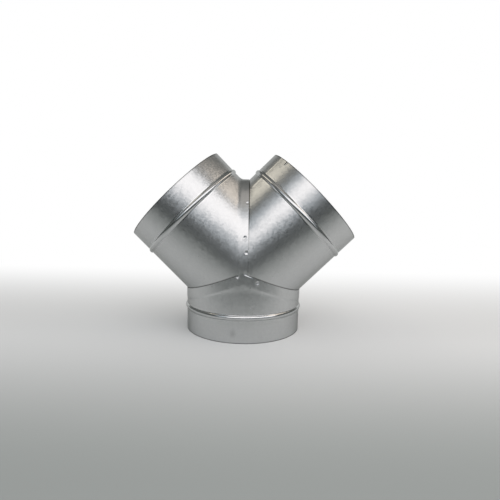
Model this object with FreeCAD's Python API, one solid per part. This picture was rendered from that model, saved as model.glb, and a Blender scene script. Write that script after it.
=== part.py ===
import FreeCAD, Part
import math
import os

os.makedirs("parts", exist_ok=True)

# Sizes in mm and degrees. The piece joins two round ducts to a third of the same bore.
spigot_diameter = 199.0
sheet = 0.6
branch_angle = 45.0
trunk_reach = 112.7
branch_reach = 169.4
bead_from_mouth = 41.3
bead_width = 10.0
bead_height = 2.4
lap_width = 13.5
lap_gap = 0.05
edge_gap = 0.5
branch_seam_turn = 32.0
nick_length = 8.0
nick_width = 1.2

# Spot welds: the dent's size, and where the welds sit along the laps
weld_diameter = 5.5
weld_depth = 0.3
weld_inset = 5.0
seam_weld_from_mouth = 12.2
seam_weld_pitch = 46.0
strip_weld_turns = (44.5, 70.0, 79.5)
left_weld_turn = 5.0
right_weld_turn = 13.0

# Radii of a sheet, and of the sheet that laps over it
outer = spigot_diameter / 2
inner = outer - sheet
lap_inner = outer + lap_gap
lap_outer = lap_inner + sheet

# The bead's crest and the roots that blend it into the wall share one pair of centres
bead_run = bead_width / 2
bead_reach = (bead_run ** 2 + bead_height ** 2) / (2 * bead_height)
crest_radius = 0.6 * bead_reach
root_radius = bead_reach - crest_radius

# The straight collar that a duct slides over, from the mouth to just short of the bead's foot
collar_length = bead_from_mouth - bead_run - sheet

# The three axes meet at this point, over the middle of the trunk's mouth
centre = FreeCAD.Vector(0, 0, trunk_reach)
slant = math.radians(branch_angle)
half_slant = slant / 2
large = 2 * (trunk_reach + branch_reach + spigot_diameter)

# Heights over the mitre planes: the edge of the trunk's lap, its bend, and the end tucked under it
lap_edge = -edge_gap / 2
lap_bend = lap_edge - lap_width
tuck_end = lap_bend + edge_gap

# The strip between the branches, where the left sheet laps over the right one
half_strip = lap_width / 2
strip_height = trunk_reach + half_strip / math.tan(slant)
joggle_length = 2 * sheet

# A branch's seam stops short of the strip, which closes its end
seam_foot = outer * math.cos(math.radians(branch_seam_turn)) / math.tan(slant) + half_strip / math.sin(slant)
branch_seam_length = branch_reach - seam_foot - half_strip

left = -1
right = 1
front = -1
back = 1


def ring(inside, outside, length):
    return Part.makeCylinder(outside, length).cut(Part.makeCylinder(inside, length))


def turned(shape, angle):
    return shape.rotated(FreeCAD.Vector(0, 0, 0), FreeCAD.Vector(0, 0, 1), angle)


def branch_way(side):
    return FreeCAD.Vector(side * math.sin(slant), 0, math.cos(slant))


def mitre_normal(side):
    return FreeCAD.Vector(side * math.sin(half_slant), 0, math.cos(half_slant))


def under_mitre(side, height):
    # all that lies on the trunk's side of one mitre plane, moved up by a height
    normal = mitre_normal(side)
    return Part.makeCylinder(large, large, centre + normal * height, -normal)


def saddle(height):
    return under_mitre(left, height).common(under_mitre(right, height))


def beyond(side, distance):
    # all that lies farther to one side than a distance from the plane between the branches
    start = FreeCAD.Vector(side * distance, 0, 0)
    return Part.makeCylinder(large, large, start, FreeCAD.Vector(side, 0, 0))


def beaded_bar(depth, start, end):
    # round bar with the stop bead, for the surface that lies a depth under the outside
    wall = outer - depth
    crest = crest_radius - depth
    root = root_radius + depth
    crest_middle = FreeCAD.Vector(outer + bead_height - crest_radius, 0, bead_from_mouth)
    top = crest_middle + FreeCAD.Vector(crest, 0, 0)

    def flank(sign):
        root_middle = FreeCAD.Vector(outer + root_radius, 0, bead_from_mouth + sign * bead_run)
        across = (crest_middle - root_middle).normalize()
        foot = root_middle - FreeCAD.Vector(root, 0, 0)
        blend = root_middle + (across + FreeCAD.Vector(-1, 0, 0)).normalize() * root
        meet = crest_middle - across * crest
        return foot, blend, meet

    low_foot, low_blend, low_meet = flank(-1)
    high_foot, high_blend, high_meet = flank(1)
    axis_start = FreeCAD.Vector(0, 0, start)
    axis_end = FreeCAD.Vector(0, 0, end)
    mouth = FreeCAD.Vector(wall, 0, start)
    tail = FreeCAD.Vector(wall, 0, end)
    edges = [
        Part.LineSegment(axis_start, mouth).toShape(),
        Part.LineSegment(mouth, low_foot).toShape(),
        Part.Arc(low_foot, low_blend, low_meet).toShape(),
        Part.Arc(low_meet, top, high_meet).toShape(),
        Part.Arc(high_meet, high_blend, high_foot).toShape(),
        Part.LineSegment(high_foot, tail).toShape(),
        Part.LineSegment(tail, axis_end).toShape(),
        Part.LineSegment(axis_end, axis_start).toShape(),
    ]
    face = Part.Face(Part.Wire(edges))
    return face.revolve(FreeCAD.Vector(0, 0, 0), FreeCAD.Vector(0, 0, 1), 360)


def weld_dent(point, normal):
    # ball that leaves a shallow electrode dent in the sheet
    half = weld_diameter / 2
    ball = (half ** 2 + weld_depth ** 2) / (2 * weld_depth)
    return Part.makeSphere(ball, point + normal * (ball - weld_depth))


def slit(angle, width, length):
    depth = 2 * (sheet + bead_height)
    block = Part.makeBox(depth, width, length, FreeCAD.Vector(inner - sheet / 2, -width / 2, 0))
    return turned(block, angle)


def rolled_tube(seam_angle, seam_length, length):
    # sheet rolled up with the bead and a lap seam, its mouth at zero height
    tube = beaded_bar(0, 0, length).cut(beaded_bar(sheet, -sheet, length + sheet))
    tube = tube.cut(slit(seam_angle, edge_gap, seam_length))
    lap_turn = math.degrees(lap_width / outer)
    root_turn = math.degrees(4 * sheet / outer)
    lap_end = seam_length + sheet
    sector = Part.makeCylinder(inner, lap_end, FreeCAD.Vector(), FreeCAD.Vector(0, 0, 1), lap_turn + root_turn)
    under_lap = turned(sector, seam_angle - lap_turn).cut(Part.makeCylinder(inner - sheet, lap_end))
    tube = tube.fuse(under_lap)
    weld_angle = math.radians(seam_angle - 0.7 * lap_turn)
    outward = FreeCAD.Vector(math.cos(weld_angle), math.sin(weld_angle), 0)
    for step in range(2):
        height = seam_weld_from_mouth + step * seam_weld_pitch
        tube = tube.cut(weld_dent(outward * outer + FreeCAD.Vector(0, 0, height), outward))
    return tube


def trunk():
    tube = rolled_tube(90.0, trunk_reach, trunk_reach)
    body = tube.common(saddle(lap_bend))
    start = saddle(lap_bend - sheet)
    joggle = ring(inner, lap_outer, trunk_reach).common(saddle(lap_bend)).cut(start)
    lap = ring(lap_inner, lap_outer, trunk_reach).common(saddle(lap_edge)).cut(start)
    shape = body.fuse([joggle, lap])
    for side, near_turn in ((left, left_weld_turn), (right, right_weld_turn)):
        for turn in (near_turn, 90.0, 180.0 - near_turn):
            shape = shape.cut(trunk_weld(side, math.radians(turn)))
    return shape


def trunk_weld(side, turn):
    # the turn is counted from the front, round one side
    outward = FreeCAD.Vector(side * math.sin(turn), -math.cos(turn), 0)
    normal = mitre_normal(side)
    point = outward * lap_outer
    rise = (lap_edge - weld_inset - normal.x * point.x) / normal.z
    return weld_dent(point + centre + FreeCAD.Vector(0, 0, rise), outward)


def slanted(shape, side):
    # from upright, mouth at zero height, to a branch's axis; the left branch is the right one turned half round
    shape = shape.rotated(FreeCAD.Vector(), FreeCAD.Vector(0, 1, 0), 180 + branch_angle)
    shape = shape.translated(centre + branch_way(right) * branch_reach)
    if side == left:
        shape = turned(shape, 180)
    return shape


def branch_tube(side):
    tube = rolled_tube(-branch_seam_turn, branch_seam_length, branch_reach + outer)
    if side == right:
        nick_angle = -branch_seam_turn - math.degrees((lap_width + nick_width) / outer)
        tube = tube.cut(slit(nick_angle, nick_width, nick_length))
    return slanted(tube, side)


def branch_body(side, tuck_start):
    # the tube cut back to the mitre, with the end that tucks into the trunk's lap
    body = branch_tube(side).cut(under_mitre(side, 0)).common(beyond(side, half_strip))
    tuck = ring(inner, outer, 2 * trunk_reach).common(under_mitre(side, 0)).cut(under_mitre(side, tuck_end))
    return body.fuse(tuck.common(beyond(side, tuck_start)))


def strip_bar(radius, start, end):
    # bar across the crotch with the outline that the branches have beside the strip
    middle = FreeCAD.Vector(start, 0, strip_height)
    top = middle + FreeCAD.Vector(0, 0, radius / math.sin(slant))
    edge = middle + FreeCAD.Vector(0, radius, 0)
    outline = Part.Wire(Part.Ellipse(top, edge, middle).toShape())
    return Part.Face(outline).extrude(FreeCAD.Vector(end - start, 0, 0))


def strip(inside, outside, start, end):
    return strip_bar(outside, start, end).cut(strip_bar(inside, start, end))


def right_branch():
    start = edge_gap - half_strip
    lip = strip(inner, outer, start, half_strip).cut(under_mitre(right, 0)).cut(under_mitre(left, edge_gap))
    return branch_body(right, start).fuse(lip)


def left_branch():
    joggle = slanted(ring(outer - sheet / 2, lap_outer, branch_reach + outer), left)
    joggle = joggle.common(beyond(left, half_strip)).cut(beyond(left, half_strip + joggle_length))
    lap = strip(lap_inner, lap_outer, -half_strip, half_strip - lap_gap)
    clear = lap_edge + edge_gap
    lip = joggle.fuse(lap).cut(under_mitre(left, clear)).cut(under_mitre(right, clear))
    shape = branch_body(left, half_strip).fuse(lip)
    for turn in strip_weld_turns:
        for face in (front, back):
            shape = shape.cut(strip_weld(face, math.radians(turn)))
    return shape


def strip_weld(face, turn):
    tall = lap_outer / math.sin(slant)
    point = FreeCAD.Vector(half_strip / 2, face * lap_outer * math.sin(turn), strip_height + tall * math.cos(turn))
    normal = FreeCAD.Vector(0, face * math.sin(turn) / lap_outer, math.cos(turn) / tall).normalize()
    return weld_dent(point, normal)


def with_collar(shape, mouth, inward):
    # one sheet in two solids that touch beside the bead's foot, so that its collar is a plain ring
    room = Part.makeCylinder(large, collar_length, mouth, inward)
    shape = shape.removeSplitter()
    return Part.makeCompound([shape.common(room), shape.cut(room)])


def branch_with_collar(shape, side):
    way = branch_way(side)
    return with_collar(shape, centre + way * branch_reach, -way)


with_collar(trunk(), FreeCAD.Vector(), FreeCAD.Vector(0, 0, 1)).exportStep("parts/trunk.step")
branch_with_collar(left_branch(), left).exportStep("parts/left_branch.step")
branch_with_collar(right_branch(), right).exportStep("parts/right_branch.step")
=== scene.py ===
import math

import bmesh
import bpy
from mathutils import Matrix, Vector, noise


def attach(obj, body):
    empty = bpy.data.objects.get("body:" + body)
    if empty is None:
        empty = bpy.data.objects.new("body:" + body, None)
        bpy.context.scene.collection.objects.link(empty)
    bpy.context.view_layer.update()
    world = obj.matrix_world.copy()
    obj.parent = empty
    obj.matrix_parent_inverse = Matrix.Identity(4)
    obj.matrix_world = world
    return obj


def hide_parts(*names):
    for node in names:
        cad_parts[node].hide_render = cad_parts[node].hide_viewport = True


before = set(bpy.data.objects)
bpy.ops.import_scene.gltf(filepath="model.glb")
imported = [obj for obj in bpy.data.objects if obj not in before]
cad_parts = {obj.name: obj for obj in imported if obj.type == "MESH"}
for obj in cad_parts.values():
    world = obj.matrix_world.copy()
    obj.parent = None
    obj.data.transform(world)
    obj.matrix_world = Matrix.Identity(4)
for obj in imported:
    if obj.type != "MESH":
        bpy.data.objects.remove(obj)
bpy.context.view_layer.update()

scene = bpy.context.scene
scene.view_settings.view_transform = "Standard"
mm = 0.001

# the rolled sheets, in mm and degrees
duct = {
    "radius": 99.5,
    "sheet": 0.6,
    "slant": 45.0,
    "axesMeet": 112.7,  # height where the three axes cross
    "lapStep": 0.65,  # how far a lapping sheet stands out from the one below
    "lapEdge": 0.27,  # how far the trunk's lap ends below the mitre planes
    "seamLap": 7.8,  # degrees that a rolled sheet laps over itself
    "seamFade": 6.0,  # length over which the seam's step runs out
    "seamWelds": (12.2, 58.2),  # distances from the mouth
    "seamWeldShare": 0.7,  # where they sit across the seam
    "rimDarkening": (0.85, 0.4, 1.4),  # strength at the mouth, start and run of its fading
    "crispFrom": 42.0,  # sharper corners are cut edges
}
slant = math.radians(duct["slant"])
halfTan = math.tan(slant / 2)
radius = duct["radius"]
axesMeet = Vector((0, 0, duct["axesMeet"]))
markNames = ("weldMark", "rolledMark", "dirtAndShadeMark")

# rows and columns of a sheet's mesh
grid = {
    "columnStep": 2.0,
    "columnGap": 0.17,  # a new column is no closer to the ones that are there
    "flapColumns": 6,
    "collarRows": (
        0, 0.5, 1.1, 1.8, 3, 5, 7, 8, 8.9, 9.8, 10.6, 11.4, 12.2,
        13, 13.8, 14.6, 15.6, 17.5, 20, 23, 26, 29, 32, 34, 35.2,
    ),
    "pastBead": 47.3,
    "mergeWithin": 0.004,
}


def ease(t):
    t = min(max(t, 0.0), 1.0)
    return t * t * (3 - 2 * t)


def rise(value, start, run):
    # from 0 to 1 over the run
    return ease((value - start) / run)


def fade(value, start, run):
    return 1 - rise(value, start, run)


def evenly(first, last, steps):
    return [first + (last - first) * k / steps for k in range(steps + 1)]


bead = {
    "fromMouth": 41.3,
    "half": 5.0,
    "height": 2.4,
    "crest": 0.74,  # share of the round crest, the root blends the rest
    "rolled": (0.9, 0.5),  # start and run of the rollers' fading mark, in half widths
    "rows": (0.12, 0.25, 0.37, 0.5, 0.62, 0.72, 0.8, 0.86, 0.91, 0.96, 1),  # also in half widths
}


def beadLift(fromMouth):
    # crest and root arcs of the rolled bead
    half, height = bead["half"], bead["height"]
    x = abs(fromMouth - bead["fromMouth"])
    if x >= half:
        return 0.0
    reach = (half ** 2 + height ** 2) / (2 * height)
    crest = bead["crest"] * reach
    root = reach - crest
    if x > bead["crest"] * half:
        return root - math.sqrt(root ** 2 - (half - x) ** 2)
    return height - crest + math.sqrt(crest ** 2 - x ** 2)


def collarRows():
    # from the mouth to just past the bead
    shares = [-s for s in reversed(bead["rows"])] + [0, *bead["rows"]]
    beadRows = [bead["fromMouth"] + bead["half"] * s for s in shares]
    return [*grid["collarRows"], *beadRows, grid["pastBead"]]


def rolledMark(fromMouth):
    # the rollers leave the bead smoother than the sheet
    return fade(abs(fromMouth - bead["fromMouth"]) / bead["half"], *bead["rolled"])


def rimDarkening(fromMouth):
    # darker band along the cut edge at the mouth
    strength, start, run = duct["rimDarkening"]
    return strength * fade(fromMouth, start, run)


weld = {
    "radius": 3.0,
    "depth": 0.55,
    "seamDepth": 0.15,
    "flat": 0.4,  # share of the radius that is flat
    "rim": (1.2, 0.22, 0.25),  # place and width in radii, height as a share of the depth
    "mark": (0.8, 0.9),  # start and run of the fading burn, in radii
    "reach": 8.0,  # there is no trace of a weld farther away
}


def weldLift(distance, depth):
    # electrode dent with a low rim pushed up round it
    t = distance / weld["radius"]
    place, width, height = weld["rim"]
    rim = math.exp(-((t - place) / width) ** 2)
    return depth * (height * rim - fade(t, weld["flat"], 1 - weld["flat"]))


def weldsAt(distances, depth):
    # how far the welds at these distances lift a point, and how strong their mark is there
    near = [d for d in distances if d < weld["reach"]]
    lift = sum(weldLift(d, depth) for d in near)
    mark = max((fade(d / weld["radius"], *weld["mark"]) for d in near), default=0.0)
    return lift, mark


# low waves of the rolled sheets
ripple = {
    "height": 0.05,
    "waves": ((0.021, 1.0), (0.06, 0.5)),  # waves to the mm, and their share
}
# place at the front where the laps were pressed in between two welds
pressed = {
    "depth": 0.55,
    "front": -80.0,  # y of the rearmost point
    "start": (-0.5, 3.0),  # x and run
    "end": (12.0, 4.0),
    "below": 1.9,  # how far it reaches below and above the lap's edge
    "above": 3.0,
}


def mitreHeight(x, drop):
    # height of the two mitre planes, less a drop
    return duct["axesMeet"] - drop - abs(x) * halfTan


def pressedIn(p):
    if p.y > pressed["front"] or p.x <= 0:
        return 0.0
    over = p.z - mitreHeight(p.x, duct["lapEdge"])
    along = rise(p.x, *pressed["start"]) * fade(p.x, *pressed["end"])
    if over < 0:
        return along * rise(over, -pressed["below"], pressed["below"])
    return along * fade(over, 0, pressed["above"])


def unevenness(p):
    wave = sum(share * noise.noise(p * waves) for waves, share in ripple["waves"])
    return ripple["height"] * wave - pressed["depth"] * pressedIn(p)


def spread(first, last, exact, spots):
    # angles of the mesh columns: the exact ones, closer ones round the spots, even steps elsewhere
    kept = sorted({first, last, *exact})
    wanted = []
    for middle, half, step in spots:
        wanted += evenly(middle - half, middle + half, round(2 * half / step))
    even = evenly(first, last, round((last - first) / grid["columnStep"]))
    wanted += [a for a in even if all(abs(a - middle) > half for middle, half, step in spots)]
    for angle in wanted:
        if first < angle < last and min(abs(angle - k) for k in kept) > grid["columnGap"]:
            kept.append(angle)
    return sorted(kept)


def startSheet():
    bm = bmesh.new()
    bm.loops.layers.uv.new("sheetMap")
    for name in markNames:
        bm.verts.layers.float.new(name)
    return bm


def addGrid(bm, columns, skip=None):
    # columns of (point in mm, place on the flat sheet in mm, (weld, rolled, dirt and painted shade))
    sheetMap = bm.loops.layers.uv["sheetMap"]
    layers = [bm.verts.layers.float[name] for name in markNames]
    verts = []
    for column in columns:
        line = []
        for point, place, marks in column:
            vert = bm.verts.new(point * mm)
            for layer, mark in zip(layers, marks):
                vert[layer] = mark
            line.append(vert)
        verts.append(line)
    for i in range(len(columns) - 1):
        for j in range(len(columns[i]) - 1):
            if skip and skip(columns[i][j][1], columns[i + 1][j + 1][1]):
                continue
            corners = ((i, j), (i, j + 1), (i + 1, j + 1), (i + 1, j))
            face = bm.faces.new([verts[a][b] for a, b in corners])
            for loop, (a, b) in zip(face.loops, corners):
                place = columns[a][b][1]
                loop[sheetMap].uv = (place[0] * mm, place[1] * mm)


def finishSheet(bm, name, material):
    # skin to a sheet of real thickness, with crisp cut edges
    bmesh.ops.remove_doubles(bm, verts=bm.verts, dist=grid["mergeWithin"] * mm)
    skin = bpy.data.meshes.new(name + "Skin")
    bm.to_mesh(skin)
    bm.free()
    piece = bpy.data.objects.new(name, skin)
    scene.collection.objects.link(piece)
    thick = piece.modifiers.new("thickness", "SOLIDIFY")
    thick.thickness = duct["sheet"] * mm
    thick.offset = -1
    thick.use_even_offset = True
    thick.use_quality_normals = True
    bpy.context.view_layer.update()
    graph = bpy.context.evaluated_depsgraph_get()
    shown = piece.evaluated_get(graph)
    sheet = bpy.data.meshes.new_from_object(shown, preserve_all_data_layers=True, depsgraph=graph)
    piece.modifiers.clear()
    piece.data = sheet
    sheet.name = name
    bpy.data.meshes.remove(skin)
    sheet.shade_smooth()
    sheet.set_sharp_from_angle(angle=math.radians(duct["crispFrom"]))
    sheet.materials.clear()
    sheet.materials.append(material)
    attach(piece, "root")
    print(name, "faces", len(sheet.polygons))
    return piece


# both branches, turns counted from the crotch side and distances from the mouth
branch = {
    "reach": 169.4,  # from the crossing of the axes to the mouth
    "seamTurn": 32.0,  # outer edge of the rolled seam
    "seamLength": 68.7,
    "seamDip": (3.2, 2.8),  # degrees before the edge where the sheet dips, and the run
    "halfStrip": 6.75,
    "trimTurn": 78.0,  # from here on the strip is cut to the peak of the trunk's lap
    "tuck": 14.3,  # length of the end in the trunk's lap
    "tuckBend": 0.6,
    "bodyStart": 48.5,  # first of the even rows past the bead
    "bodySteps": 24,
    "endRows": (3.0, 2.2, 1.5, 0.8, 0.0),  # rows before the bend
    "stripBendSteps": 12,
    "tuckBendSteps": 4,
    "tuckSteps": 5,
    "seamWeldColumns": (2.6, 0.35),  # half width and step of close columns, in degrees
    "seamEdgeColumns": (1.8, 0.4),
    "stripWeldColumns": (2.0, 0.4),
    "stripColumns": ((61, 28, 1.0), (328, 58, 1.0)),  # these with their turn
}
leftBranch = {
    "side": -1,
    "stripWidth": 12.95,
    "stripLift": 0.65,
    "bodyBend": 8.0,  # how soft the corner beside the strip is
    "stripBend": 4.0,
    "stripClear": 0.27,
    "stripStep": 0.65,
    "stripWelds": ((44.5, 4.6), (70.0, 1.8), (79.5, 4.2)),  # turn, and place across
    "nick": None,
    "mapShift": (900, 150),
}
rightBranch = {
    "side": 1,
    "stripWidth": 13.0,
    "stripLift": 0.0,
    "bodyBend": 0.4,
    "stripBend": 0.4,
    "stripClear": -4.0,
    "stripStep": 2.2,
    "stripWelds": (),
    "nick": (40.5, 1.4, 8.0),  # turn, width and length of the cut in the rim
    "mapShift": (1900, 420),
}
# dirt and painted shadow where a sheet goes under the next one, painted shadow round the nick, with starts
# and runs in mm and degrees
branchDirtAndShade = {
    "seam": 0.34,
    "seamEdge": (2.6, 1.4),
    "seamPaler": (0.6, 30.0, 20.0),  # share that it loses, and where
    "nickSide": (1.0, 0.9),
    "nickEnd": (6.0, 3.0),
    "strip": 0.9,
    "stripStart": (8.0, 14.0),
    "stripPaler": (0.75, 56.0, 16.0),
    "joint": 0.7,
    "jointEdge": (0.7, 1.6),
    "tuck": 0.6,
}
seamEnd = branch["seamTurn"] + 360
flapEnd = branch["seamLength"] - duct["seamFade"]
seamWeldTurn = branch["seamTurn"] + duct["seamWeldShare"] * duct["seamLap"]
halfStrip = branch["halfStrip"]
stripTop = duct["axesMeet"] + halfStrip / math.tan(slant)
cornerTurn = math.degrees(math.acos(-halfStrip / radius))  # where strip and tucked end meet
turnSlack = 1e-6


def axisWay(look):
    return Vector((look["side"] * math.sin(slant), 0, math.cos(slant)))


def outward(look, turn):
    a = math.radians(turn)
    crotchWay = Vector((-look["side"] * math.cos(slant), 0, math.sin(slant)))
    return crotchWay * math.cos(a) + Vector((0, -look["side"], 0)) * math.sin(a)


def flatPlace(look, turn, fromMouth):
    # place on the flat sheet, each branch cut from another part of it
    return radius * math.radians(turn) + look["mapShift"][0], fromMouth + look["mapShift"][1]


def signedTurn(turn):
    return (turn + 180) % 360 - 180


def onStrip(turn):
    return abs(signedTurn(turn)) <= cornerTurn + turnSlack


def endAlong(turn, strip):
    # where the wall ends along the axis, from the crossing of the axes
    c = math.cos(math.radians(turn))
    if strip:
        return halfStrip / math.sin(slant) + radius * c / math.tan(slant)
    return -radius * c * halfTan


def bendOf(look, turn):
    # the wide bend runs out towards the trunk
    if not onStrip(turn):
        return branch["tuckBend"]
    start = branch["trimTurn"]
    out = rise(abs(signedTurn(turn)), start, cornerTurn - start)
    return look["bodyBend"] + (branch["tuckBend"] - look["bodyBend"]) * out


def seamDrop(turn, fromMouth):
    # the sheet's end dips under its other edge, and the step fades out before the strip
    before, run = branch["seamDip"]
    return duct["lapStep"] * rise(turn, seamEnd - before, run) * fade(fromMouth, flapEnd, duct["seamFade"])


def seamDirtAndShade(turn, fromMouth):
    # dirt and painted shadow along the seam's outer edge, paler farther from the mouth
    if fromMouth > flapEnd:
        return 0.0
    before, run = branchDirtAndShade["seamEdge"]
    lost, start, length = branchDirtAndShade["seamPaler"]
    line = branchDirtAndShade["seam"] * rise(turn, seamEnd - before, run)
    return line * (1 - lost * rise(fromMouth, start, length))


def nickShade(look, turn, fromMouth):
    # painted shadow round the cut in the rim
    if not look["nick"]:
        return 0.0
    middle, width, length = look["nick"]
    beside = abs(radius * math.radians(turn - middle)) - width / 2
    return fade(beside, *branchDirtAndShade["nickSide"]) * fade(fromMouth, *branchDirtAndShade["nickEnd"])


def jointDirtAndShade(look, turn, strip):
    # dirt and painted shadow where the branch goes into the trunk's lap, and where the other branch's strip
    # lies over this one
    if not strip:
        return branchDirtAndShade["joint"]
    if look["stripLift"]:
        return 0.0  # this branch's strip lies on top
    lost, start, run = branchDirtAndShade["stripPaler"]
    away = abs(signedTurn(turn))
    return branchDirtAndShade["strip"] * rise(away, *branchDirtAndShade["stripStart"]) * (1 - lost * rise(away, start, run))


def branchWall(look, turn, fromMouth):
    way = outward(look, turn)
    base = axesMeet + axisWay(look) * (branch["reach"] - fromMouth) + way * radius
    across = radius * math.radians(turn - seamWeldTurn)
    distances = [math.hypot(across, fromMouth - spot) for spot in duct["seamWelds"]]
    dent, mark = weldsAt(distances, weld["seamDepth"])
    lift = unevenness(base) + beadLift(fromMouth) - seamDrop(turn, fromMouth) + dent
    strip = onStrip(turn)
    ahead = branch["reach"] - endAlong(turn, strip) - fromMouth
    dirtAndShade = max(
        rimDarkening(fromMouth),
        seamDirtAndShade(turn, fromMouth),
        nickShade(look, turn, fromMouth),
        jointDirtAndShade(look, turn, strip) * fade(ahead, *branchDirtAndShade["jointEdge"]),
    )
    smooth = max(rolledMark(fromMouth), pressedIn(base))
    return base + way * lift, flatPlace(look, turn, fromMouth), (mark, smooth, dirtAndShade)


def branchRows(look, turn):
    # distances from the mouth, up to where the bend starts
    last = branch["reach"] - endAlong(turn, onStrip(turn)) - bendOf(look, turn)
    first, *others = branch["endRows"]
    rows = collarRows() + evenly(branch["bodyStart"], last - first, branch["bodySteps"])
    return rows + [last - before for before in others]


def stripTurn(look, turn, x):
    # near the trunk the strip is cut to the peak of the trunk's lap
    signed = signedTurn(turn)
    start = branch["trimTurn"]
    if abs(signed) <= start:
        return math.radians(signed)
    low = mitreHeight(x, -look["stripClear"])
    cut = math.degrees(math.acos((low - stripTop) * math.sin(slant) / radius))
    share = (abs(signed) - start) / (cornerTurn - start)
    return math.copysign(math.radians(start + (cut - start) * share), signed)


def stripPoint(look, turn, beyond):
    # point of the flat strip beyond its corner, its normal and its turn
    x = look["side"] * (halfStrip - beyond)
    a = stripTurn(look, turn, x)
    y = -look["side"] * math.sin(a)
    base = Vector((x, radius * y, stripTop + radius * math.cos(a) / math.sin(slant)))
    normal = Vector((0, y, math.cos(a) * math.sin(slant))).normalized()
    return base, normal, a


def tuckPoint(look, turn, drop):
    # point of the tucked end below its corner, and its normal
    corner = axesMeet + axisWay(look) * endAlong(turn, False) + outward(look, turn) * radius
    normal = Vector((corner.x, corner.y, 0)).normalized()
    return corner + Vector((0, 0, -drop)), normal


def bendPoints(look, turn, strip):
    # from the wall round the corner to the strip or the tucked end
    way = outward(look, turn)
    end = endAlong(turn, strip)
    corner = axesMeet + axisWay(look) * end + way * radius
    before = bendOf(look, turn)
    start = corner + axisWay(look) * before
    if strip:
        after, steps, step = look["stripBend"], branch["stripBendSteps"], look["stripLift"]
        reached = stripPoint(look, turn, after)[0]
        normalThere = stripPoint(look, turn, 0)[1]
    else:
        after, steps, step = branch["tuckBend"], branch["tuckBendSteps"], 0.0
        reached, normalThere = tuckPoint(look, turn, after)
    points = []
    for t in evenly(0, 1, steps)[1:-1]:
        p = start * (1 - t) ** 2 + corner * 2 * t * (1 - t) + reached * t ** 2
        normal = way.lerp(normalThere, ease(t)).normalized()
        lift = unevenness(p) + step * ease(t)
        place = flatPlace(look, turn, branch["reach"] - end - before + (before + after) * t)
        points.append((p + normal * lift, place, (0, 0, jointDirtAndShade(look, turn, strip))))
    return points


def stripRow(look, turn, beyond):
    base, normal, a = stripPoint(look, turn, beyond)
    distances = []
    for spot, across in look["stripWelds"]:
        s = math.radians(spot)
        stretch = math.hypot(radius * math.cos(s), radius / math.sin(slant) * math.sin(s))
        distances.append(math.hypot(base.x - across, (abs(a) - s) * stretch))
    dent, mark = weldsAt(distances, weld["depth"])
    lift = look["stripLift"] + unevenness(base) + dent
    place = flatPlace(look, turn, branch["reach"] - endAlong(turn, True) + beyond)
    return base + normal * lift, place, (mark, 0, 0)


def tuckRow(look, turn, drop):
    base, normal = tuckPoint(look, turn, drop)
    place = flatPlace(look, turn, branch["reach"] - endAlong(turn, False) + drop)
    # painted shade on the end tucked inside the trunk's lap
    return base + normal * unevenness(base), place, (0, 0, branchDirtAndShade["tuck"])


def stripColumn(look, turn):
    bend, width = look["stripBend"], look["stripWidth"]
    column = [branchWall(look, turn, branchRows(look, turn)[-1]), *bendPoints(look, turn, True)]
    rows = evenly(bend, width, round((width - bend) / look["stripStep"]))
    return column + [stripRow(look, turn, beyond) for beyond in rows]


def tuckColumn(look, turn):
    column = [branchWall(look, turn, branchRows(look, turn)[-1]), *bendPoints(look, turn, False)]
    rows = evenly(branch["tuckBend"], branch["tuck"], branch["tuckSteps"])
    return column + [tuckRow(look, turn, drop) for drop in rows]


def branchTurns(look):
    exact = [cornerTurn, 360 - cornerTurn]
    half, step = branch["seamEdgeColumns"]
    spots = [(seamWeldTurn, *branch["seamWeldColumns"]), (seamEnd - half, half, step)]
    if look["nick"]:
        turn, width, length = look["nick"]
        halfNick = math.degrees(width / 2 / radius)
        exact += [turn - halfNick, turn + halfNick]
    if look["stripWelds"]:
        for spot, across in look["stripWelds"]:
            spots += [(turn, *branch["stripWeldColumns"]) for turn in (spot, 360 - spot)]
        spots += branch["stripColumns"]
    return spread(branch["seamTurn"], seamEnd, exact, spots)


def nickTest(look):
    # tells which faces of the wall are cut away, from two corners on the flat sheet
    if not look["nick"]:
        return None
    turn, width, length = look["nick"]
    middle, mouth = flatPlace(look, turn, 0)

    def inNick(here, there):
        across = (here[0] + there[0]) / 2 - middle
        inwards = (here[1] + there[1]) / 2 - mouth
        return abs(across) < width / 2 and inwards < length

    return inNick


def buildBranch(name, look, material):
    turns = branchTurns(look)
    bm = startSheet()
    addGrid(bm, [[branchWall(look, t, d) for d in branchRows(look, t)] for t in turns], nickTest(look))

    # the end that lies under the seam
    seamRows = [d for d in branchRows(look, seamEnd) if d <= flapEnd]
    flapTurns = evenly(seamEnd, seamEnd + duct["seamLap"], grid["flapColumns"])
    addGrid(bm, [[branchWall(look, t, d) for d in seamRows] for t in flapTurns])

    # the strip across the crotch, on both sides of the seam
    stripTurns = [t for t in turns if onStrip(t)]
    for part in ([t for t in stripTurns if t < 180], [t for t in stripTurns if t > 180]):
        addGrid(bm, [stripColumn(look, t) for t in part])

    # the end tucked into the trunk's lap
    tuckTurns = [t for t in turns if abs(signedTurn(t)) >= cornerTurn - turnSlack]
    addGrid(bm, [tuckColumn(look, t) for t in tuckTurns])
    return finishSheet(bm, name, material)


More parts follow.
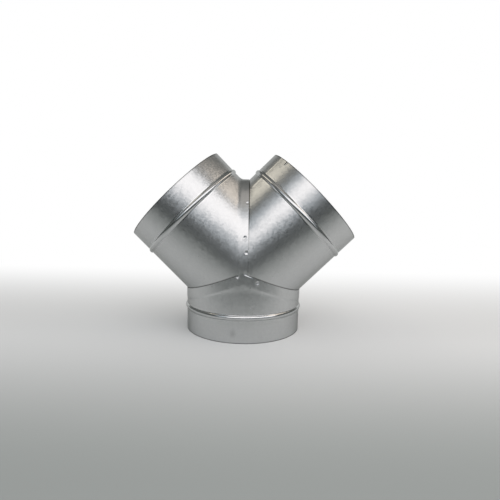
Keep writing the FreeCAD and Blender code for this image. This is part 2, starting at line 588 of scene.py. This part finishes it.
# turns counted from the front, the seam at the back
trunk = {
    "lapFoot": 14.9,  # the lap's step runs between these two, measured below the mitre planes
    "joggleFoot": 19.5,
    "joggleRows": (19.0, 18.4, 17.8, 17.1, 16.3, 15.6),
    "lapRows": (14, 12, 10, 8.7, 7.7, 7, 6.4, 5.7, 5.0, 4.4, 3.8, 3.2, 2.5, 1.8, 1.2, 0.7),
    "peakRound": 3.0,
    "peakSoft": (9.0, 24.0),  # extra length of the step under the peak, and how wide that is
    "lapWelds": (  # turn, and drop below the mitre planes
        (-5.0, 1.2),
        (13.0, 5.7),
        (-90.0, 5.7),
        (90.0, 5.7),
        (-175.0, 5.7),
        (167.0, 5.7),
    ),
    "seamDip": (177.0, 2.6),  # start and run
    # dirt and painted shadow along the trunk's seam at the back
    "seamDirtAndShade": (0.8, 178.4, 1.2),  # strength, start and run
    "smudge": (-15.0, 16.0, 5.5, 7.0),  # round the front, height, half width, half height
    "smudgeTone": (0.23, 1.4),  # strength, and run in half sizes
    "bodyStart": 47.9,  # first of the even rows past the bead
    "bodySteps": 14,
    "weldColumns": (2.1, 0.35),  # half width and step of close columns, in degrees
    "seamEdgeColumns": (1.8, 0.45),
    "closeColumns": ((0, 2.4, 0.8), (-8.6, 3.0, 0.6)),  # at the peak and the smudge, with their turn
}
trunkSeamWeld = 180 - duct["seamWeldShare"] * duct["seamLap"]


def peakLine(x, drop):
    # the crease is rounder than the cut edge
    soft = trunk["peakRound"] * rise(drop, 0, trunk["lapFoot"])
    return duct["axesMeet"] - drop - math.hypot(x, soft) * halfTan


flapTop = peakLine(0, trunk["joggleFoot"]) - 2 * duct["seamFade"]


def trunkRows(turn):
    # heights of a column's points, each with its drop below the crease
    x = radius * math.sin(math.radians(turn))
    crease = duct["axesMeet"] - math.hypot(x, trunk["peakRound"]) * halfTan
    foot = peakLine(x, trunk["joggleFoot"])
    body = evenly(trunk["bodyStart"], foot, trunk["bodySteps"])[:-1]
    drops = [trunk["joggleFoot"], *trunk["joggleRows"], trunk["lapFoot"], *trunk["lapRows"], duct["lapEdge"]]
    rows = [(z, crease - z) for z in collarRows() + body]
    return rows + [(peakLine(x, drop), drop) for drop in drops]


def trunkWelds(a, z):
    lapDistances = []
    for spot, drop in trunk["lapWelds"]:
        s = math.radians(spot)
        lapDistances.append(math.hypot(radius * (a - s), z - mitreHeight(radius * math.sin(s), drop)))
    across = radius * (a - math.radians(trunkSeamWeld))
    seamDistances = [math.hypot(across, z - spot) for spot in duct["seamWelds"]]
    lapDent, lapMark = weldsAt(lapDistances, weld["depth"])
    seamDent, seamMark = weldsAt(seamDistances, weld["seamDepth"])
    return lapDent + seamDent, max(lapMark, seamMark)


def trunkDirtAndShade(turn, z):
    # dirt of the smudge, the darker band at the mouth, and dirt and painted shadow along the seam
    middle, height, halfWide, halfTall = trunk["smudge"]
    off = math.hypot((radius * math.radians(turn) - middle) / halfWide, (z - height) / halfTall)
    strength, run = trunk["smudgeTone"]
    dirtAndShade = max(rimDarkening(z), strength * fade(off, 0, run))
    if z < flapTop:
        strength, start, run = trunk["seamDirtAndShade"]
        dirtAndShade = max(dirtAndShade, strength * rise(-turn, start, run))
    return dirtAndShade


def trunkWall(turn, z, drop):
    a = math.radians(turn)
    way = Vector((math.sin(a), -math.cos(a), 0))
    base = way * radius + Vector((0, 0, z))
    dent, mark = trunkWelds(a, z)
    lift = unevenness(base) + beadLift(z) + dent

    # the step of the lap is long and soft under the peak
    extra, width = trunk["peakSoft"]
    run = trunk["joggleFoot"] - trunk["lapFoot"] + extra * math.exp(-(base.x / width) ** 2)
    lift += duct["lapStep"] * fade(drop, trunk["lapFoot"], run)

    # the sheet's end dips under its other edge
    lift -= duct["lapStep"] * rise(-turn, *trunk["seamDip"]) * fade(z, flapTop, duct["seamFade"])
    smooth = max(rolledMark(z), pressedIn(base))
    return base + way * lift, (radius * a, z), (mark, smooth, trunkDirtAndShade(turn, z))


def buildTrunk(name, material):
    spots = [(spot, *trunk["weldColumns"]) for spot, drop in trunk["lapWelds"]]
    half, step = trunk["seamEdgeColumns"]
    spots += [(trunkSeamWeld, *trunk["weldColumns"]), (half - 180, half, step), *trunk["closeColumns"]]
    turns = sorted(spread(-180.0, 180.0, [0.0], spots), reverse=True)
    bm = startSheet()
    addGrid(bm, [[trunkWall(t, z, drop) for z, drop in trunkRows(t)] for t in turns])

    # the end that lies under the seam
    seamRows = [row for row in trunkRows(-180.0) if row[0] <= flapTop]
    flapTurns = evenly(-180, -180 - duct["seamLap"], grid["flapColumns"])
    addGrid(bm, [[trunkWall(t, z, drop) for z, drop in seamRows] for t in flapTurns])
    return finishSheet(bm, name, material)


def feed(tree, socket, value):
    # a socket takes a link, a colour or a plain value
    if isinstance(value, bpy.types.NodeSocket):
        tree.links.new(value, socket)
    elif socket.type == "RGBA":
        socket.default_value = (*value, 1)
    else:
        socket.default_value = value


def addNode(tree, kind, inputs, **settings):
    made = tree.nodes.new("ShaderNode" + kind)
    for name, value in settings.items():
        setattr(made, name, value)
    for name, value in inputs.items():
        feed(tree, made.inputs[name], value)
    return made


def mathNode(tree, kind, *values):
    return addNode(tree, "Math", dict(enumerate(values)), operation=kind).outputs[0]


def vectorNode(tree, kind, *values):
    return addNode(tree, "VectorMath", dict(enumerate(values)), operation=kind).outputs[0]


def blend(tree, share, first, second):
    sources = {"Factor": share, "A": first, "B": second}
    return addNode(tree, "Mix", sources, data_type="RGBA").outputs["Result"]


def softStep(tree, value, start, end):
    # from 0 to 1 between the two places
    sources = {"Value": value, "From Min": start, "From Max": end}
    return addNode(tree, "MapRange", sources, interpolation_type="SMOOTHSTEP").outputs["Result"]


def weightedSum(tree, total, sources, shares):
    for name, share in shares.items():
        total = mathNode(tree, "MULTIPLY_ADD", sources[name], share, total)
    return total


zinc = {
    "colour": (0.60, 0.61, 0.61),
    "toneRange": (0.86, 1.12),  # darkest and lightest patches, as shares of the colour
    "toneTop": 0.31,  # sum of the tones at the lightest
    "tones": {"spangle": 0.05, "streak": 0.07, "fleck": 0.06, "cloud": 0.06, "grain": 0.03},
    "edgeTint": (0.5, 0.51, 0.5),  # the dull coat mirrors less at a flat angle
    "roughness": 0.24,  # before the patches and marks change it
    "roughBy": {"fleck": 0.08, "cloud": 0.04, "weldMark": 0.06, "rolledMark": -0.12},
    "patterns": {  # waves to the metre, detail, and how much narrower they are round the tube
        "fray": (420, 2, 1),
        "fleck": (230, 4, 1),
        "grain": (1100, 3, 1),
        "streak": (30, 4, 40),
        "cloud": (14, 3, 1),
    },
    "spangle": 2.4,  # mm across
    "spangleFray": 4.0,  # mm
    "spangleTilt": 0.05,
    "grainBump": 0.08,
    "grainHeight": 0.2,  # mm
    # colour of the dirt and painted shade marks
    "dirtAndShade": (0.07, 0.07, 0.066),
}


def zincPatterns(tree):
    # all that changes over the sheet, from its flat map and the marks of its mesh
    flat = addNode(tree, "UVMap", {}, uv_map="sheetMap").outputs["UV"]
    found = {}
    for name, (waves, detail, narrow) in zinc["patterns"].items():
        way = vectorNode(tree, "MULTIPLY", flat, (narrow, 1, 1)) if narrow > 1 else flat
        sources = {"Vector": way, "Scale": waves, "Detail": detail}
        made = addNode(tree, "TexNoise", sources, noise_dimensions="2D")
        found[name] = made.outputs["Color" if name == "fray" else "Fac"]
    for name in markNames:
        found[name] = addNode(tree, "Attribute", {}, attribute_name=name).outputs["Fac"]

    # crystals of the zinc, with frayed borders
    fray = zinc["spangleFray"] * mm
    frayed = vectorNode(tree, "MULTIPLY_ADD", found["fray"], (fray, fray, 0), flat)
    sources = {"Vector": frayed, "Scale": 1 / (zinc["spangle"] * mm)}
    crystals = addNode(tree, "TexVoronoi", sources, voronoi_dimensions="2D").outputs["Color"]
    found["crystals"] = crystals
    found["spangle"] = addNode(tree, "SeparateColor", {"Color": crystals}).outputs["Red"]
    return found


def zincColour(tree, found):
    tone = weightedSum(tree, 0.0, found, zinc["tones"])
    ramp = addNode(tree, "ValToRGB", {"Fac": tone})
    for stop, place, share in zip(ramp.color_ramp.elements, (0.0, zinc["toneTop"]), zinc["toneRange"]):
        stop.position = place
        stop.color = (*(share * c for c in zinc["colour"]), 1)
    # dirt and painted shade darken the zinc where the mesh marks them
    return blend(tree, found["dirtAndShadeMark"], ramp.outputs["Color"], zinc["dirtAndShade"])


def zincNormal(tree, found):
    # each crystal is tilted a little, and the surface has a fine grain, both ironed out by the rollers
    unrolled = mathNode(tree, "SUBTRACT", 1.0, found["rolledMark"])
    centred = vectorNode(tree, "SUBTRACT", found["crystals"], (0.5, 0.5, 0.5))
    calm = vectorNode(tree, "MULTIPLY", centred, unrolled)
    surface = addNode(tree, "NewGeometry", {}).outputs["Normal"]
    tilted = vectorNode(tree, "MULTIPLY_ADD", calm, (zinc["spangleTilt"],) * 3, surface)
    sources = {
        "Strength": mathNode(tree, "MULTIPLY", unrolled, zinc["grainBump"]),
        "Distance": zinc["grainHeight"] * mm,
        "Height": found["grain"],
        "Normal": vectorNode(tree, "NORMALIZE", tilted),
    }
    return addNode(tree, "Bump", sources).outputs["Normal"]


def makeZinc():
    material = bpy.data.materials.new("galvanisedSheet")
    material.use_nodes = True
    tree = material.node_tree
    shader = tree.nodes["Principled BSDF"]
    found = zincPatterns(tree)
    feed(tree, shader.inputs["Metallic"], 1.0)
    feed(tree, shader.inputs["Specular Tint"], zinc["edgeTint"])
    feed(tree, shader.inputs["Base Color"], zincColour(tree, found))
    feed(tree, shader.inputs["Roughness"], weightedSum(tree, zinc["roughness"], found, zinc["roughBy"]))
    feed(tree, shader.inputs["Normal"], zincNormal(tree, found))
    return material


zincSheet = makeZinc()
print("zinc material ready")
trunkPiece = buildTrunk("trunkSheet", zincSheet)
leftPiece = buildBranch("leftBranchSheet", leftBranch, zincSheet)
rightPiece = buildBranch("rightBranchSheet", rightBranch, zincSheet)
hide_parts("trunk")
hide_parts("left_branch")
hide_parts("right_branch")


# the studio is in metres, and its directions are parts of a unit vector
floorLook = {
    "size": 8.0,
    "span": (-0.8, 0.2),  # from front to back, over which the paper changes its tone
    # painted shade: the paper gets darker towards the camera, darkest beyond the picture's frame
    "tones": (  # share of the span, colour
        (0.24, (0.048, 0.055, 0.053)),
        (0.37, (0.32, 0.342, 0.334)),
        (0.74, (0.72, 0.735, 0.735)),
    ),
    "white": (-0.05, 0.6),  # where it turns white behind the part
    "roughness": 0.9,
}
studio = {
    "middle": (0, 0, 0.17),
    "front": (0.048, 0.055, 0.053),  # wall at the camera's back
    "side": (0.14, 0.148, 0.142),
    "frontToSide": (-0.8, 0.2),
    "top": (0.24, 0.24, 0.23),
    "topPower": 2.0,
    "back": (1.0, 1.0, 1.0),
    "backStart": (0.63, 0.785),
    "backTop": (0.44, 0.56),
    "ambient": 0.5,  # light on matt surfaces, the lamps give the rest
}
lamps = {
    # azimuth from the front and height in degrees, distance, width and depth in metres, roll, watts, colour
    "keyWide": (8, 30.5, 1.2, 3.4, 1.2, 0, 7.1, (0.91, 1.0, 1.1)),
    "keyCore": (18, 33, 1.3, 2.6, 0.72, 4, 6.4, (1.09, 0.98, 0.94)),
    "warmLeft": (-101, 51, 1.2, 0.7, 0.42, 11, 1.0, (1.0, 0.91, 0.76)),
    "warmRight": (106, 41, 1.2, 1.3, 0.4, -17, 2.2, (1.0, 0.86, 0.74)),
    "overhead": (5, 76, 1.2, 0.8, 0.8, 0, 0.65, (1.0, 0.9, 0.83)),
}


def seenRays(tree):
    # one for what the camera sees straight, mirrored or through glass
    paths = addNode(tree, "LightPath", {})
    seen = mathNode(tree, "MAXIMUM", paths.outputs["Is Camera Ray"], paths.outputs["Is Glossy Ray"])
    return mathNode(tree, "MAXIMUM", seen, paths.outputs["Is Transmission Ray"])


def splitPlace(tree, source):
    place = addNode(tree, "TexCoord", {}).outputs[source]
    return addNode(tree, "SeparateXYZ", {0: place}).outputs


def makePaper():
    # graduated paper: white behind the part, pale under it, with painted shade darkening it in front of the
    # picture's frame
    material = bpy.data.materials.new("paleFloorWithPaintedShade")
    material.use_nodes = True
    tree = material.node_tree
    y = splitPlace(tree, "Object")["Y"]
    front, back = floorLook["span"]
    share = mathNode(tree, "DIVIDE", mathNode(tree, "SUBTRACT", y, front), back - front)
    ramp = addNode(tree, "ValToRGB", {"Fac": share})
    ramp.color_ramp.interpolation = "EASE"
    stops = ramp.color_ramp.elements
    while len(stops) < len(floorLook["tones"]):
        stops.new(0.5)
    for stop, (place, colour) in zip(stops, floorLook["tones"]):
        stop.position = place
        stop.color = (*colour, 1)
    matt = tree.nodes["Principled BSDF"]
    feed(tree, matt.inputs["Base Color"], ramp.outputs["Color"])
    feed(tree, matt.inputs["Roughness"], floorLook["roughness"])
    feed(tree, matt.inputs["Specular IOR Level"], 0.0)
    white = addNode(tree, "Emission", {})
    whiteShare = mathNode(tree, "MULTIPLY", softStep(tree, y, *floorLook["white"]), seenRays(tree))
    mix = addNode(tree, "MixShader", {0: whiteShare, 1: matt.outputs[0], 2: white.outputs[0]})
    feed(tree, tree.nodes["Material Output"].inputs["Surface"], mix.outputs[0])
    return material


def makeFloor():
    half = floorLook["size"] / 2
    corners = [(-half, -half, 0), (half, -half, 0), (half, half, 0), (-half, half, 0)]
    plane = bpy.data.meshes.new("floor")
    plane.from_pydata(corners, [], [(0, 1, 2, 3)])
    plane.materials.append(makePaper())
    floor = bpy.data.objects.new("floor", plane)
    scene.collection.objects.link(floor)


def makeWorld():
    # white wall behind the part and plain grey studio elsewhere, seen straight and mirrored
    world = bpy.data.worlds.new("studio")
    world.use_nodes = True
    tree = world.node_tree
    way = splitPlace(tree, "Generated")
    walls = blend(tree, softStep(tree, way["Y"], *studio["frontToSide"]), studio["front"], studio["side"])
    high = mathNode(tree, "POWER", mathNode(tree, "MAXIMUM", way["Z"], 0.0), studio["topPower"])
    room = blend(tree, high, walls, studio["top"])
    behind = softStep(tree, way["Y"], *studio["backStart"])
    low = mathNode(tree, "SUBTRACT", 1.0, softStep(tree, way["Z"], *studio["backTop"]))
    colour = blend(tree, mathNode(tree, "MULTIPLY", behind, low), room, studio["back"])
    light = blend(tree, seenRays(tree), (studio["ambient"],) * 3, colour)
    feed(tree, tree.nodes["Background"].inputs["Color"], light)
    scene.world = world


def wayTo(azimuth, height):
    az, el = math.radians(azimuth), math.radians(height)
    return Vector((math.sin(az) * math.cos(el), -math.cos(az) * math.cos(el), math.sin(el)))


def makeLamp(name, azimuth, height, distance, width, depth, roll, watts, colour):
    light = bpy.data.lights.new(name, "AREA")
    light.shape = "RECTANGLE"
    light.size = width
    light.size_y = depth
    light.energy = watts
    light.color = colour
    lamp = bpy.data.objects.new(name, light)
    way = wayTo(azimuth, height)
    turn = way.to_track_quat("Z", "Y").to_matrix() @ Matrix.Rotation(math.radians(roll), 3, "Z")
    lamp.matrix_world = Matrix.LocRotScale(Vector(studio["middle"]) + way * distance, turn, None)
    lamp.visible_camera = False
    scene.collection.objects.link(lamp)


makeFloor()
makeWorld()
for name, values in lamps.items():
    makeLamp(name, *values)
print("studio ready")


cameraLook = {
    "place": (0.005028, -0.696582, 0.226108),
    "azimuth": -0.4317,
    "lookDown": 7.2963,
    "roll": 1.2574,
    "lens": 28.3767,
    "sensor": 36,
    "near": 0.01,
}


def makeCamera():
    data = bpy.data.cameras.new("camera")
    data.sensor_width = cameraLook["sensor"]
    data.lens = cameraLook["lens"]
    data.clip_start = cameraLook["near"]
    camera = bpy.data.objects.new("camera", data)
    roll = math.radians(cameraLook["roll"])
    back = wayTo(cameraLook["azimuth"], cameraLook["lookDown"])
    right = Vector((0, 0, 1)).cross(back).normalized()
    up = back.cross(right)
    x = right * math.cos(roll) + up * math.sin(roll)
    y = up * math.cos(roll) - right * math.sin(roll)
    turn = Matrix((x, y, back)).transposed()
    camera.matrix_world = Matrix.LocRotScale(Vector(cameraLook["place"]), turn, None)
    scene.collection.objects.link(camera)
    scene.camera = camera


makeCamera()
print("camera ready")
